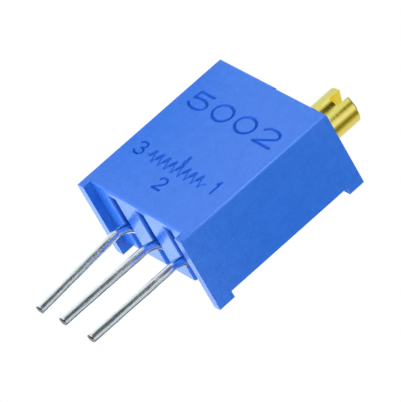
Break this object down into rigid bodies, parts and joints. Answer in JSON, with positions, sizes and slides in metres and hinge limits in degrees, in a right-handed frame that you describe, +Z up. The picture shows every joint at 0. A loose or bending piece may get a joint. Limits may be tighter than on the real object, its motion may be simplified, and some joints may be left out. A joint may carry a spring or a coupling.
{
  "type": "trimmer potentiometer",
  "caption": "Square multi-turn trimmer potentiometer with a slotted top screw, worm-driven wiper and three in-line pins for a circuit board.",
  "frame": {"origin": "middle pin's axis, on the plane of the feet that stand on the circuit board", "axes": "+X along the row of pins to the screw's side, -Y out of the marked front face, +Z up out of the board towards the screw"},
  "size_m": [0.0096, 0.0048, 0.0176],
  "materials": {
    "housing_plastic": "moulded thermoset plastic, fine satin grain",
    "screw_brass": "turned brass with milled slot",
    "seal_rubber": "soft rubber",
    "clip_steel": "stamped stainless strip",
    "wheel_plastic": "natural moulded nylon",
    "spring_alloy": "rolled spring strip",
    "contact_wire": "drawn precious metal wire",
    "alumina": "fired ceramic",
    "cermet": "fired resistive print",
    "conductor_print": "fired silver print",
    "tinned_wire": "tinned copper wire",
    "solder": "dull solder",
    "seal_resin": "poured epoxy resin"
  },
  "bodies": {
    "body": {"housing": "housing_plastic", "seal_ring": "seal_rubber", "screw_clip": "clip_steel", "ceramic_plate": "alumina", "resistive_track": "cermet", "conductor_1": "conductor_print", "conductor_2": "conductor_print", "conductor_3": "conductor_print", "pin_1": "tinned_wire", "pin_2": "tinned_wire", "pin_3": "tinned_wire", "solder_1": "solder", "solder_2": "solder", "solder_3": "solder", "back_seal": "seal_resin"},
    "screw": {"adjustment_screw": "screw_brass"},
    "wheel": {"worm_wheel": "wheel_plastic", "wiper_spring": "spring_alloy", "track_brush": "contact_wire", "collector_brush": "contact_wire"}
  },
  "joints": [
    {"name": "screw_turn", "type": "hinge", "parent": "body", "child": "screw", "pos_m": [0.00349, -0.00111, 0], "axis": [0, 0, 1], "range_deg": [-4500, 4500]},
    {"name": "wheel_turn", "type": "hinge", "parent": "body", "child": "wheel", "pos_m": [0, 0, 0.0052], "axis": [0, 1, 0], "range_deg": [-140.62, 140.62]}
  ],
  "couplings": [
    {"joint": "wheel_turn", "follows": "screw_turn", "ratio": 0.03125}
  ]
}
